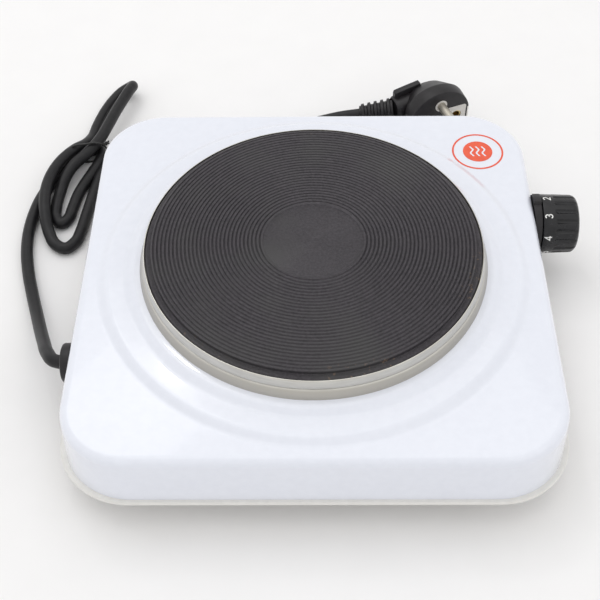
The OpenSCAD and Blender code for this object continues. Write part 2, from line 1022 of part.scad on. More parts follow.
module plug_body() {
    at_plug()
    color("#1b1b1d")
    difference() {
        union() {
            rod_y(plug_r, 0, plug_depth);
            translate([0, plug_depth, 0])
                rotate([-90, 0, 0])
                    cylinder(r1 = plug_r, r2 = 12, h = 12.5);
            translate([-21, neck_depth - 7, -neck_half])
                cube([26, 13.5, 2 * neck_half]);
        }
        for (z = [-1, 1])
            translate([0, 0, z * pin_gap / 2])
                rod_y(pin_d / 2 + 0.05, -1, 12.1);
        translate([10, 0, 0])
            rod_y(3.1, -1, 10);
        for (x = [-1, 1])
            translate([x * plug_r, 0, 0])
                cube([3, 16, 8.4], center = true);
        translate([0, neck_depth, 0])
            rod_x(cord_d / 2 + 0.1, -30, -12);
    }
}

module plug_pins() {
    at_plug()
    color("silver")
    for (z = [-1, 1])
        translate([0, 0, z * pin_gap / 2]) {
            rod_y(pin_d / 2, -pin_len + pin_d / 2, 12);
            translate([0, -pin_len + pin_d / 2, 0])
                sphere(pin_d / 2, $fn = 32);
        }
}

module plug_earth_clips() {
    at_plug()
    color("#c8b25a")
    for (x = [-1, 1])
        translate([x * (plug_r - 1.05), 4, 0])
            cube([0.8, 7.8, 7.6], center = true);
}

module plug_earth_socket() {
    at_plug()
    color("#c8b25a")
    translate([10, 0, 0])
        difference() {
            rod_y(3.05, 0.4, 9.9);
            rod_y(2.4, -1, 9);
        }
}

// Ribbed strain relief that droops a little from the plug
module plug_boot() {
    end = cord_route_b[len(cord_route_b) - 1];
    placed()
    color("#1b1b1d")
    translate([end[0], end[1], end[2]])
        rotate([0, -9, 0])
            difference() {
                union() {
                    turned_x([
                        [0, 0], [0, 4.6], [19, 6.2], [19, 0]
                    ]);
                    for (i = [0 : 4])
                        rod_x(5.6 + 0.25 * i, 1 + 3.8 * i, 3 + 3.8 * i);
                }
                rod_x(cord_d / 2 + 0.1, -1, 20);
            }
}

top_cover();
base_pan();
corner_lugs();
rubber_feet();
foot_screws();
hot_surface_mark();
hot_plate();
spill_ring();
heating_coil();
coil_insulation();
plate_back_cover();
plate_stud();
clamp_bracket();
clamp_washer();
clamp_nut();
shield_nut();
heat_shield();
plate_ceramic();
plate_terminals();
thermal_fuse();
earth_screw();
earth_nut();
thermostat_frame();
thermostat_bush();
thermostat_nut();
thermostat_ceramics();
thermostat_rivet();
contact_blade();
fixed_blade();
bimetal_blade();
push_pin();
control_spindle();
control_knob();
dial_bezel();
indicator_lens();
lens_retainer();
neon_lamp();
terminal_block();
terminal_screws();
block_screw();
live_wire();
neutral_wire();
load_wire();
earth_wire();
lamp_leads();
cord_gland();
gland_nut();
cord_inner_end();
cord_body_side();
cord_hank();
cord_tie();
cord_plug_side();
plug_boot();
plug_body();
plug_pins();
plug_earth_clips();
plug_earth_socket();
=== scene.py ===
import json
import math

import bmesh
import bpy
from mathutils import Matrix, Vector


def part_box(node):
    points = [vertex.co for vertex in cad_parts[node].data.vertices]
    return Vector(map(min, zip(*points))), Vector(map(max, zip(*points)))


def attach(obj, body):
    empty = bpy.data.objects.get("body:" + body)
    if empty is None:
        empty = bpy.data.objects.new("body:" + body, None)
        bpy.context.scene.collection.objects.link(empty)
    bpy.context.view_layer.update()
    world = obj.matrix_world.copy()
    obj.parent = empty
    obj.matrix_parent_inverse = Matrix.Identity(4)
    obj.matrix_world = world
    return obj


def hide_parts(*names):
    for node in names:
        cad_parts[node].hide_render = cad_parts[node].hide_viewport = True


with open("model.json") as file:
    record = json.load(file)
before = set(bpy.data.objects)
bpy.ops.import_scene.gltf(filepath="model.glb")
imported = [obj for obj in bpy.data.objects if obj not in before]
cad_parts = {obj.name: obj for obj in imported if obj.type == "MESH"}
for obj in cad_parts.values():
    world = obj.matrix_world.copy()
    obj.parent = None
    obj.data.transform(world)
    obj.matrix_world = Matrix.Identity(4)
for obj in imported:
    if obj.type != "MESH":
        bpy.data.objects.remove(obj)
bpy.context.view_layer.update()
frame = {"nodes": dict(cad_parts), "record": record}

# Lengths in this script are millimetres from the plate's axis and the table, unless a name says else.
MM = 0.001
plate_low, plate_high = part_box("hot_plate")
PLATE_X = (plate_low.x + plate_high.x) / 2 / MM


def place(x, y, z):
    """A point given from the plate's axis and the table, as metres in the row frame."""
    return Vector(((x + PLATE_X) * MM, y * MM, z * MM))


def top_of(node):
    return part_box(node)[1].z / MM


def bottom_of(node):
    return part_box(node)[0].z / MM


# ---------------------------------------------------------------- camera
CAMERA_AT = (-0.254, -338.915, 425.875)
CAMERA_PITCH = 0.8768425
CAMERA_YAW = -0.0186852
CAMERA_ROLL = -0.0178947
CAMERA_LENS = 65.17


def make_camera():
    data = bpy.data.cameras.new("camera")
    data.lens = CAMERA_LENS
    data.sensor_width = 36
    camera = bpy.data.objects.new("camera", data)
    bpy.context.scene.collection.objects.link(camera)
    forward = Vector((
        math.sin(CAMERA_YAW) * math.cos(CAMERA_PITCH),
        math.cos(CAMERA_YAW) * math.cos(CAMERA_PITCH),
        -math.sin(CAMERA_PITCH),
    ))
    level = Vector((math.cos(CAMERA_YAW), -math.sin(CAMERA_YAW), 0))
    upright = level.cross(forward)
    right = math.cos(CAMERA_ROLL) * level + math.sin(CAMERA_ROLL) * upright
    up = -math.sin(CAMERA_ROLL) * level + math.cos(CAMERA_ROLL) * upright
    turn = Matrix((right, up, -forward)).transposed().to_4x4()
    camera.matrix_world = Matrix.Translation(place(*CAMERA_AT)) @ turn
    bpy.context.scene.camera = camera


# ---------------------------------------------------------------- materials
def surface(name, light, dark, metallic=0.0, rough=(0.4, 0.5), grain=300.0, bump=0.03,
            stretch=(1, 1, 1), coat=0.0, specular=0.5, transmission=0.0):
    """A material whose colour, roughness and height follow one fine noise; bump is in mm."""
    mat = bpy.data.materials.new(name)
    mat.use_nodes = True
    nodes, links = mat.node_tree.nodes, mat.node_tree.links
    shader = nodes["Principled BSDF"]
    shader.inputs["Metallic"].default_value = metallic
    shader.inputs["Coat Weight"].default_value = coat
    shader.inputs["Coat Roughness"].default_value = 0.04
    shader.inputs["Specular IOR Level"].default_value = specular
    shader.inputs["Transmission Weight"].default_value = transmission
    coords = nodes.new("ShaderNodeTexCoord")
    mapping = nodes.new("ShaderNodeMapping")
    mapping.inputs["Scale"].default_value = stretch
    noise = nodes.new("ShaderNodeTexNoise")
    noise.inputs["Scale"].default_value = grain
    noise.inputs["Detail"].default_value = 5
    ramp = nodes.new("ShaderNodeValToRGB")
    ramp.color_ramp.elements[0].position = 0.3
    ramp.color_ramp.elements[0].color = (*dark, 1)
    ramp.color_ramp.elements[1].position = 0.7
    ramp.color_ramp.elements[1].color = (*light, 1)
    spread = nodes.new("ShaderNodeMapRange")
    spread.inputs["To Min"].default_value = rough[0]
    spread.inputs["To Max"].default_value = rough[1]
    height = nodes.new("ShaderNodeBump")
    height.inputs["Distance"].default_value = bump * MM
    height.inputs["Strength"].default_value = 1
    links.new(coords.outputs["Object"], mapping.inputs["Vector"])
    links.new(mapping.outputs["Vector"], noise.inputs["Vector"])
    links.new(noise.outputs["Fac"], ramp.inputs["Fac"])
    links.new(noise.outputs["Fac"], spread.inputs["Value"])
    links.new(noise.outputs["Fac"], height.inputs["Height"])
    links.new(ramp.outputs["Color"], shader.inputs["Base Color"])
    links.new(spread.outputs["Result"], shader.inputs["Roughness"])
    links.new(height.outputs["Normal"], shader.inputs["Normal"])
    return mat


def mix_over(mat, factor, colour):
    """Lays a colour over a material's own, where the factor output is 1."""
    nodes, links = mat.node_tree.nodes, mat.node_tree.links
    base = nodes["Principled BSDF"].inputs["Base Color"]
    below = base.links[0].from_socket
    mix = nodes.new("ShaderNodeMix")
    mix.data_type = "RGBA"
    colour_in = [s for s in mix.inputs if s.type == "RGBA"]
    colour_in[1].default_value = (*colour, 1)
    links.new(factor, mix.inputs["Factor"])
    links.new(below, colour_in[0])
    links.new([s for s in mix.outputs if s.type == "RGBA"][0], base)


def patches(mat, scale, low, high, detail=4.0):
    """A factor that is 1 in scattered patches of a coarse noise."""
    nodes, links = mat.node_tree.nodes, mat.node_tree.links
    coords = nodes.new("ShaderNodeTexCoord")
    noise = nodes.new("ShaderNodeTexNoise")
    noise.inputs["Scale"].default_value = scale
    noise.inputs["Detail"].default_value = detail
    limit = nodes.new("ShaderNodeMapRange")
    limit.inputs["From Min"].default_value = low
    limit.inputs["From Max"].default_value = high
    links.new(coords.outputs["Object"], noise.inputs["Vector"])
    links.new(noise.outputs["Fac"], limit.inputs["Value"])
    return limit.outputs["Result"]


def distance_from_axis(mat):
    """Two outputs in metres: the distance from the plate's axis, and the height."""
    nodes, links = mat.node_tree.nodes, mat.node_tree.links
    coords = nodes.new("ShaderNodeTexCoord")
    parts = nodes.new("ShaderNodeSeparateXYZ")
    links.new(coords.outputs["Object"], parts.inputs["Vector"])
    flat = nodes.new("ShaderNodeCombineXYZ")
    shift = nodes.new("ShaderNodeMath")
    shift.operation = "SUBTRACT"
    shift.inputs[1].default_value = PLATE_X * MM
    links.new(parts.outputs["X"], shift.inputs[0])
    links.new(shift.outputs["Value"], flat.inputs["X"])
    links.new(parts.outputs["Y"], flat.inputs["Y"])
    length = nodes.new("ShaderNodeVectorMath")
    length.operation = "LENGTH"
    links.new(flat.outputs["Vector"], length.inputs[0])
    return length.outputs["Value"], parts.outputs["Z"]


def band(mat, value, low, high):
    """0 below low and 1 above high, both in mm, of an output in metres."""
    limit = mat.node_tree.nodes.new("ShaderNodeMapRange")
    limit.inputs["From Min"].default_value = low * MM
    limit.inputs["From Max"].default_value = high * MM
    mat.node_tree.links.new(value, limit.inputs["Value"])
    return limit.outputs["Result"]


def times(mat, a, b):
    product = mat.node_tree.nodes.new("ShaderNodeMath")
    product.operation = "MULTIPLY"
    mat.node_tree.links.new(a, product.inputs[0])
    mat.node_tree.links.new(b, product.inputs[1])
    return product.outputs["Value"]


def turned(mat, radius, pitch, depth):
    """Fine turning marks round the plate's axis, pitch and depth in mm, under the material's own bump."""
    nodes, links = mat.node_tree.nodes, mat.node_tree.links
    turns = nodes.new("ShaderNodeMath")
    turns.operation = "MULTIPLY"
    turns.inputs[1].default_value = 2 * math.pi / (pitch * MM)
    wave = nodes.new("ShaderNodeMath")
    wave.operation = "SINE"
    marks = nodes.new("ShaderNodeBump")
    marks.inputs["Distance"].default_value = depth * MM
    links.new(radius, turns.inputs[0])
    links.new(turns.outputs["Value"], wave.inputs[0])
    links.new(wave.outputs["Value"], marks.inputs["Height"])
    grain = nodes["Principled BSDF"].inputs["Normal"].links[0].from_node
    links.new(marks.outputs["Normal"], grain.inputs["Normal"])


def enamel():
    mat = surface("enamel", (0.80, 0.825, 0.90), (0.775, 0.80, 0.875), rough=(0.14, 0.22),
                  grain=260, bump=0.002, coat=1.0, specular=0.3)
    mix_over(mat, patches(mat, 900, 0.80, 0.83), (0.55, 0.55, 0.58))
    return mat


def cast_iron():
    mat = surface("cast_iron", (0.080, 0.073, 0.082), (0.045, 0.042, 0.047), metallic=0.55,
                  rough=(0.28, 0.46), grain=900, bump=0.02)
    radius, height = distance_from_axis(mat)
    mix_over(mat, patches(mat, 26, 0.48, 0.70), (0.072, 0.070, 0.072))
    turned(mat, radius, 0.45, 0.06)
    rim = times(mat, band(mat, radius, 70, 75), patches(mat, 520, 0.60, 0.68))
    mix_over(mat, times(mat, rim, patches(mat, 14, 0.52, 0.60)), (0.24, 0.17, 0.12))
    return mat


def stainless():
    mat = surface("stainless", (0.66, 0.645, 0.60), (0.56, 0.545, 0.50), metallic=0.9,
                  rough=(0.24, 0.40), grain=90, bump=0.006, stretch=(1, 1, 9))
    radius, height = distance_from_axis(mat)
    # Painted reflection: below 54.4 mm the steel is painted darker and more olive, standing in for what the
    # lower band of the ring reflects; the steel itself is the same all over
    painted_reflection_band = mat.node_tree.nodes.new("ShaderNodeMapRange")
    painted_reflection_band.inputs["From Min"].default_value = 54.4 * MM
    painted_reflection_band.inputs["From Max"].default_value = 53.6 * MM
    mat.node_tree.links.new(height, painted_reflection_band.inputs["Value"])
    mix_over(mat, painted_reflection_band.outputs["Result"], (0.50, 0.478, 0.43))
    return mat


# Slot: lighter colour, darker colour, and what else differs from a plain satin surface
PLAIN = {
    "pan_paint": ((0.80, 0.79, 0.76), (0.75, 0.74, 0.71), dict(rough=(0.34, 0.46), bump=0.01)),
    "steel": ((0.66, 0.66, 0.67), (0.50, 0.50, 0.52), dict(metallic=1, rough=(0.28, 0.46))),
    "foot_rubber": ((0.060, 0.060, 0.060), (0.040, 0.040, 0.040), dict(rough=(0.6, 0.8), grain=900)),
    "mark_print": ((0.84, 0.115, 0.05), (0.76, 0.09, 0.04), dict(rough=(0.35, 0.5), bump=0.01)),
    "coil_wire": ((0.30, 0.29, 0.28), (0.14, 0.13, 0.13), dict(metallic=0.8, rough=(0.5, 0.7))),
    "insulation": ((0.78, 0.76, 0.71), (0.66, 0.64, 0.60), dict(rough=(0.8, 0.95), bump=0.2)),
    "aluminium": ((0.80, 0.80, 0.81), (0.68, 0.68, 0.69), dict(metallic=1, rough=(0.25, 0.4))),
    "ceramic": ((0.84, 0.81, 0.73), (0.76, 0.73, 0.65), dict(rough=(0.3, 0.45), coat=0.2)),
    "brass": ((0.78, 0.62, 0.30), (0.60, 0.45, 0.20), dict(metallic=1, rough=(0.25, 0.4))),
    "fuse_body": ((0.62, 0.52, 0.38), (0.50, 0.41, 0.28), dict(rough=(0.5, 0.7))),
    "blade_metal": ((0.76, 0.52, 0.32), (0.62, 0.40, 0.24), dict(metallic=1, rough=(0.25, 0.4))),
    "bimetal": ((0.55, 0.52, 0.46), (0.42, 0.39, 0.34), dict(metallic=1, rough=(0.35, 0.5))),
    "knob_plastic": ((0.017, 0.017, 0.019), (0.012, 0.012, 0.013),
                     dict(rough=(0.2, 0.32), bump=0.008, specular=0.35)),
    "black_plastic": ((0.020, 0.018, 0.020), (0.013, 0.012, 0.013),
                      dict(rough=(0.34, 0.5), bump=0.02, specular=0.35)),
    "lens_plastic": ((0.78, 0.09, 0.03), (0.66, 0.06, 0.02), dict(rough=(0.1, 0.2), transmission=0.35)),
    "lamp_glass": ((0.95, 0.80, 0.65), (0.88, 0.70, 0.55), dict(rough=(0.05, 0.1), transmission=0.8)),
    "brown_lead": ((0.26, 0.13, 0.06), (0.18, 0.08, 0.035), dict(rough=(0.45, 0.6))),
    "blue_lead": ((0.06, 0.17, 0.52), (0.04, 0.12, 0.42), dict(rough=(0.45, 0.6))),
    "white_lead": ((0.78, 0.78, 0.75), (0.68, 0.68, 0.65), dict(rough=(0.45, 0.6))),
    "cord_sheath": ((0.016, 0.0155, 0.017), (0.009, 0.009, 0.010),
                    dict(rough=(0.34, 0.5), bump=0.03, specular=0.3)),
    "tie_wire": ((0.020, 0.020, 0.020), (0.012, 0.012, 0.012), dict(rough=(0.4, 0.55))),
    "plated_brass": ((0.74, 0.73, 0.71), (0.62, 0.61, 0.58), dict(metallic=1, rough=(0.2, 0.32))),
}


def earth_lead():
    """Green and yellow in stripes along the lead."""
    mat = surface("earth_lead", (0.30, 0.52, 0.06), (0.22, 0.42, 0.04), rough=(0.45, 0.6))
    nodes, links = mat.node_tree.nodes, mat.node_tree.links
    coords = nodes.new("ShaderNodeTexCoord")
    wave = nodes.new("ShaderNodeTexWave")
    wave.inputs["Scale"].default_value = 120
    links.new(coords.outputs["Object"], wave.inputs["Vector"])
    mix_over(mat, wave.outputs["Fac"], (0.70, 0.62, 0.05))
    return mat


MATERIALS = {slot: surface(slot, light, dark, **more) for slot, (light, dark, more) in PLAIN.items()}
MATERIALS["enamel"] = enamel()
MATERIALS["cast_iron"] = cast_iron()
MATERIALS["stainless"] = stainless()
MATERIALS["earth_lead"] = earth_lead()
DIAL_WHITE = surface("dial_white", (0.88, 0.88, 0.86), (0.78, 0.78, 0.76), rough=(0.4, 0.55), bump=0.01)
PIN_METAL = surface("pin_metal", (0.58, 0.54, 0.46), (0.46, 0.43, 0.37), metallic=0.8, rough=(0.38, 0.5))
INSERT_GREY = surface("insert_grey", (0.72, 0.70, 0.66), (0.64, 0.62, 0.58), rough=(0.4, 0.55))


# ---------------------------------------------------------------- mesh helpers
SEGMENTS = 320
SHARP_ANGLE = math.radians(35)


def finish_mesh(bm):
    """Outward normals, smooth faces, and sharp edges where the surface turns hard."""
    bmesh.ops.remove_doubles(bm, verts=bm.verts, dist=0.001 * MM)
    bmesh.ops.recalc_face_normals(bm, faces=bm.faces)
    for face in bm.faces:
        face.smooth = True
    for edge in bm.edges:
        edge.smooth = not (len(edge.link_faces) == 2 and edge.calc_face_angle() > SHARP_ANGLE)


def mesh_object(name, bm):
    mesh = bpy.data.meshes.new(name)
    bm.to_mesh(mesh)
    bm.free()
    obj = bpy.data.objects.new(name, mesh)
    bpy.context.scene.collection.objects.link(obj)
    return obj


def piece(name, bm, slot, nodes=(), body="base", material=None):
    """A finished mesh piece that rides on a body and stands for CAD nodes."""
    finish_mesh(bm)
    return adopt(mesh_object(name, bm), slot, nodes, body, material)


def adopt(obj, slot, nodes=(), body="base", material=None):
    obj.data.materials.clear()
    obj.data.materials.append(material or MATERIALS[slot])
    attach(obj, body)
    if nodes:
        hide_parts(*nodes)
    return obj


def loft(bm, rings, closed=False, cap_low=False, cap_high=False):
    """Quads between rings of equal counts; closed joins the last ring to the first."""
    rows = [[bm.verts.new(p) for p in ring] for ring in rings]
    count = len(rows[0])
    pairs = list(zip(rows, rows[1:])) + ([(rows[-1], rows[0])] if closed else [])
    for below, above in pairs:
        for k in range(count):
            bm.faces.new((below[k], below[(k + 1) % count], above[(k + 1) % count], above[k]))
    if cap_low:
        bm.faces.new(rows[0][::-1])
    if cap_high:
        bm.faces.new(rows[-1])


def lathe(bm, profile, centre=(0, 0), segments=256):
    """A solid of revolution about a vertical axis from (radius, height) points."""
    def ring(r, z):
        return [place(centre[0] + r * math.cos(2 * math.pi * k / segments),
                      centre[1] + r * math.sin(2 * math.pi * k / segments), z)
                for k in range(segments)]
    ends = [profile[0][0] == 0, profile[-1][0] == 0]
    body = [p for p in profile if p[0] > 0]
    loft(bm, [ring(r, z) for r, z in body], closed=not any(ends), cap_low=ends[0], cap_high=ends[1])


def turned_x(bm, profile, y, z, segments=128, radius=None, bend=None, closed=False):
    """A solid of revolution about an X axis at y, z from (x, radius) points.

    radius(x, r, angle) may change a point's radius, and bend(x, y, z) may move a point.
    """
    def ring(x, r):
        points = []
        for k in range(segments):
            a = 2 * math.pi * k / segments
            q = radius(x, r, a) if radius else r
            at = (x, y - q * math.cos(a), z + q * math.sin(a))
            points.append(place(*(bend(*at) if bend else at)))
        return points
    loft(bm, [ring(x, r) for x, r in profile], closed=closed,
         cap_low=not closed, cap_high=not closed)


def arc(centre, r, start, end, steps):
    """Points on a circle from start to end degrees."""
    return [(centre[0] + r * math.cos(math.radians(start + (end - start) * i / steps)),
             centre[1] + r * math.sin(math.radians(start + (end - start) * i / steps)))
            for i in range(steps + 1)]


def cut(obj, cutter):
    """Takes a closed mesh away from an object for good, and drops the cutter."""
    modifier = obj.modifiers.new("cut", "BOOLEAN")
    modifier.operation = "DIFFERENCE"
    modifier.solver = "EXACT"
    modifier.object = cutter
    bake(obj)
    bpy.data.objects.remove(cutter)


def unite(obj, other):
    modifier = obj.modifiers.new("unite", "BOOLEAN")
    modifier.operation = "UNION"
    modifier.solver = "EXACT"
    modifier.object = other
    bake(obj)
    bpy.data.objects.remove(other)


def bake(obj):
    """Makes the result of an object's modifiers its mesh, with clean shading."""
    graph = bpy.context.evaluated_depsgraph_get()
    mesh = bpy.data.meshes.new_from_object(obj.evaluated_get(graph))
    obj.modifiers.clear()
    bm = bmesh.new()
    bm.from_mesh(mesh)
    finish_mesh(bm)
    bm.to_mesh(mesh)
    bm.free()
    obj.data = mesh


def solid(bm):
    bmesh.ops.recalc_face_normals(bm, faces=bm.faces)
    return mesh_object("cutter", bm)


# ---------------------------------------------------------------- cover and base
RIM_W, RIM_D, RIM_R = 112.2, 111.5, 33
WALL_W, WALL_D, WALL_R = 110.3, 109.6, 32.5
LEAN = 1.6
EDGE_R = 4.5
SHEET = 1.2
RIM_LOW = bottom_of("base_pan")
RIM_HIGH = top_of("base_pan")
LEDGE_Z = top_of("top_cover")
COVER_TOP = LEDGE_Z - 5.2
WALL_TOP = COVER_TOP - EDGE_R
KNOB_Y, LAMP_Y, GLAND_Y = 39.2, -14, -46.5
AXIS_Z = (bottom_of("thermostat_bush") + top_of("thermostat_bush")) / 2


def wall_at(z):
    return WALL_W - LEAN * (z - RIM_HIGH) / (WALL_TOP - RIM_HIGH)


def square_ring(half_w, half_d, r, z):
    """A rounded square with its points at even angles, so that it matches a round ring's."""
    points = []
    for k in range(SEGMENTS):
        c = math.cos(2 * math.pi * k / SEGMENTS)
        s = math.sin(2 * math.pi * k / SEGMENTS)
        t = min(half_w / max(abs(c), 1e-9), half_d / max(abs(s), 1e-9))
        if abs(t * c) > half_w - r and abs(t * s) > half_d - r:
            cx, cy = half_w - r, half_d - r
            along = abs(c) * cx + abs(s) * cy
            t = along + math.sqrt(along ** 2 - (cx ** 2 + cy ** 2 - r ** 2))
        points.append(place(t * c, t * s, z))
    return points


def round_ring(r, z):
    return [place(r * math.cos(2 * math.pi * k / SEGMENTS),
                  r * math.sin(2 * math.pi * k / SEGMENTS), z) for k in range(SEGMENTS)]


def step_profile(r, low, run=4.4, rise=2.6, points=9):
    """A smooth pressed step that rises inwards from radius r."""
    rows = []
    for i in range(points + 1):
        t = i / points
        rows.append((r - run * t, low + rise * (t * t * (3 - 2 * t))))
    return rows


def cover_rings(inset, drop):
    """The cover's skin from its foot to the plate's hole, moved in by inset and down by drop."""
    rings = []
    for lean, z in ((0, RIM_HIGH), (LEAN / 2, (RIM_HIGH + WALL_TOP) / 2)):
        rings.append(square_ring(WALL_W - lean - inset, WALL_D - lean - inset, WALL_R - lean - inset, z))
    r = EDGE_R - inset
    for i in range(9):
        a = math.radians(90 * i / 8)
        inner = LEAN + inset + r * (1 - math.cos(a))
        rings.append(square_ring(WALL_W - inner, WALL_D - inner, WALL_R - inner,
                                 WALL_TOP + r * math.sin(a)))
    profile = step_profile(101.6, COVER_TOP, 6.4) + step_profile(89, COVER_TOP + 2.6, 6.4)
    rings += [round_ring(q - drop / 2, z - drop) for q, z in profile]
    return rings


def make_cover():
    collar = [(74.2, LEDGE_Z), (73.4, LEDGE_Z - 0.25), (73, LEDGE_Z - 0.9), (73, LEDGE_Z - 4),
              (74.1, LEDGE_Z - 4), (74.2, LEDGE_Z - SHEET)]
    bm = bmesh.new()
    rings = cover_rings(0, 0) + [round_ring(r, z) for r, z in collar] + cover_rings(SHEET, SHEET)[::-1]
    loft(bm, rings, closed=True)
    cover = piece("enamelled_cover", bm, "enamel", ["top_cover"])
    holes = bmesh.new()
    turned_x(holes, [(100, 5.3), (115, 5.3)], KNOB_Y, AXIS_Z)
    turned_x(holes, [(100, 3.6), (115, 3.6)], LAMP_Y, AXIS_Z)
    turned_x(holes, [(-115, 6.6), (-100, 6.6)], GLAND_Y, AXIS_Z)
    cut(cover, solid(holes))


def box_between(bm, low, high):
    rings = [[place(x, y, z) for x, y in ((low[0], low[1]), (high[0], low[1]),
                                          (high[0], high[1]), (low[0], high[1]))]
             for z in (low[2], high[2])]
    loft(bm, rings, cap_low=True, cap_high=True)


FEET = [(x, y) for x in (-84, 84) for y in (-72, 72)]


def make_pan():
    edge = 0.8
    outline = [(edge * (1 - math.cos(math.radians(a))), RIM_LOW + edge * (1 - math.sin(math.radians(a))))
               for a in (90, 60, 30, 0)]
    outline += [(edge * (1 - math.cos(math.radians(a))), RIM_HIGH - edge * (1 - math.sin(math.radians(a))))
                for a in (0, 30, 60, 90)]
    outline += [(4.2, RIM_HIGH), (4.5, RIM_HIGH - 0.3), (4.5, RIM_HIGH - 1)]
    bm = bmesh.new()
    rings = [square_ring(RIM_W - i, RIM_D - i, RIM_R - i, z) for i, z in outline]
    loft(bm, rings, cap_low=True, cap_high=True)
    pan = piece("base_tray", bm, "pan_paint", ["base_pan"])
    holes = bmesh.new()
    for side in (-1, 1):
        for i in range(-3, 4):
            x, y = i * 11, side * 62
            box_between(holes, (x - 2, y - 17, RIM_LOW - 1), (x + 2, y + 17, RIM_LOW + 3))
    for x, y in FEET:
        foot_hole = [(0, RIM_LOW - 1), (2.1, RIM_LOW - 1), (2.1, RIM_LOW + 3), (0, RIM_LOW + 3)]
        lathe(holes, foot_hole, (x, y), 32)
    screw_hole = [(0, RIM_LOW - 1), (1.6, RIM_LOW - 1), (1.6, RIM_LOW + 3), (0, RIM_LOW + 3)]
    lathe(holes, screw_hole, (-76, GLAND_Y), 32)
    cut(pan, solid(holes))


def make_feet():
    bm = bmesh.new()
    profile = [(2.3, 6), (4.6, 6), (4.6, 0.4), (4.9, 0), (8.2, 0), (8.9, 0.3), (9.4, 1),
               (10.9, RIM_LOW - 0.6), (10.6, RIM_LOW - 0.05), (2.3, RIM_LOW - 0.05)]
    for x, y in FEET:
        lathe(bm, profile, (x, y), 96)
    piece("moulded_feet", bm, "foot_rubber", ["rubber_feet"])


# ---------------------------------------------------------------- hot plate
FACE_Z = plate_high.z / MM
HUB_Z = plate_low.z / MM
SHOULDER_Z = FACE_Z - 2.1
FACE_R = 74.4
PLATE_R = 77.5
GROOVES = 28
GROOVE_R0, GROOVE_PITCH, GROOVE_W, GROOVE_DEPTH = 24.6, 1.8, 0.9, 0.5


def make_plate():
    seat = SHOULDER_Z - 5
    profile = [(0, 56.7), (4.05, 56.7), (4.05, HUB_Z), (25, HUB_Z), (25, HUB_Z + 1.2), (27, HUB_Z + 1.2),
               (27, HUB_Z + 7), (66, HUB_Z + 7), (66, HUB_Z + 1.2), (68.5, HUB_Z + 1.2), (68.5, HUB_Z),
               (70.5, HUB_Z), (70.5, seat), (PLATE_R - 0.3, seat), (PLATE_R - 0.3, SHOULDER_Z - 0.8),
               (PLATE_R - 0.6, SHOULDER_Z - 0.3), (PLATE_R - 1.2, SHOULDER_Z), (FACE_R + 0.3, SHOULDER_Z),
               (FACE_R, SHOULDER_Z + 0.25), (FACE_R, FACE_Z - 0.5), (FACE_R - 0.15, FACE_Z - 0.15),
               (FACE_R - 0.5, FACE_Z)]
    for i in range(GROOVES - 1, -1, -1):
        r = GROOVE_R0 + GROOVE_PITCH * i
        profile += [(r + GROOVE_W / 2, FACE_Z), (r + GROOVE_W / 5, FACE_Z - GROOVE_DEPTH),
                    (r - GROOVE_W / 5, FACE_Z - GROOVE_DEPTH), (r - GROOVE_W / 2, FACE_Z)]
    profile += [(23.3, FACE_Z), (23.1, FACE_Z - 0.3), (22.6, FACE_Z - 0.5), (0, FACE_Z - 0.5)]
    bm = bmesh.new()
    lathe(bm, profile, segments=SEGMENTS)
    piece("cast_hot_plate", bm, "cast_iron", ["hot_plate"])


def make_ring():
    seat = SHOULDER_Z - 5
    profile = [(78.0, SHOULDER_Z - 0.35), (78.15, SHOULDER_Z - 0.8), (78.5, seat + 1.8), (78.8, seat + 0.5),
               (78.75, seat + 0.35), (78.4, seat + 0.25), (78.4, seat - 0.05), (78.8, seat - 0.15),
               (79.0, seat - 0.3), (79.3, seat - 1.1), (80.6, LEDGE_Z + 0.4), (80.6, LEDGE_Z + 0.02),
               (79.6, LEDGE_Z + 0.02), (79.6, LEDGE_Z + 0.4), (78, seat - 0.6), (71.2, seat - 0.6),
               (71.2, seat - 0.02), (77.7, seat - 0.02), (77.5, SHOULDER_Z - 0.35), (77.6, SHOULDER_Z - 0.2),
               (77.85, SHOULDER_Z - 0.2)]
    bm = bmesh.new()
    lathe(bm, profile, segments=SEGMENTS)
    piece("steel_spill_ring", bm, "stainless", ["spill_ring"])


# ---------------------------------------------------------------- knob side
KNOB_X = RIM_W + 0.4
KNOB_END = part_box("control_knob")[1].x / MM - PLATE_X
KNOB_R = 14.8
END_R = 14.3
FLUTES = 18
GRIP_START = 5.8


def knob_radius(x):
    return KNOB_R - (KNOB_R - END_R) * max(0, (x - KNOB_X) / (KNOB_END - 3 - KNOB_X))


def fluted(x, r, angle):
    """The grip's flutes start past the dial band and run out over the rounded end."""
    step = 2 * math.pi / FLUTES
    off = (angle + math.pi / 2 + step / 2) % step - step / 2
    centre, cutter = END_R + 0.5, 1.15
    reach = centre * math.sin(off)
    start = KNOB_X + GRIP_START
    if x < start or abs(reach) > cutter:
        return r
    ease = min(1, (x - start) / 1.2)
    floor = centre * math.cos(off) - math.sqrt(cutter ** 2 - reach ** 2)
    return r - ease * max(0, r - floor)


def digit_strokes():
    """Centre lines of the dial's numbers in a box 3 wide and 4.2 tall."""
    return {
        "0": [[(1.4 + 1.2 * math.cos(math.radians(a)), 2.1 + 2.0 * math.sin(math.radians(a)))
               for a in range(90, 451, 20)]],
        "1": [[(0.6, 3.3), (1.6, 4.1), (1.6, 0)]],
        "2": [arc((1.4, 2.95), 1.15, 165, -35, 10) + [(0.2, 0.1), (2.7, 0.1)]],
        "3": [arc((1.35, 3.1), 1.0, 150, -80, 10) + arc((1.4, 1.15), 1.1, 80, -155, 12)],
        "4": [[(2.0, 0), (2.0, 4.1), (0.1, 1.2), (2.8, 1.2)]],
        "5": [[(2.5, 4.1), (0.6, 4.1), (0.4, 2.2)] + arc((1.4, 1.25), 1.2, 130, -150, 12)],
    }


DIGIT_ANGLES = {"0": 190, "1": 146, "2": 103, "3": 60, "4": 17, "5": -27}
DIGIT_FOOT = KNOB_X + 4.3
DIGIT_SIZE = 0.84
STROKE = 0.66


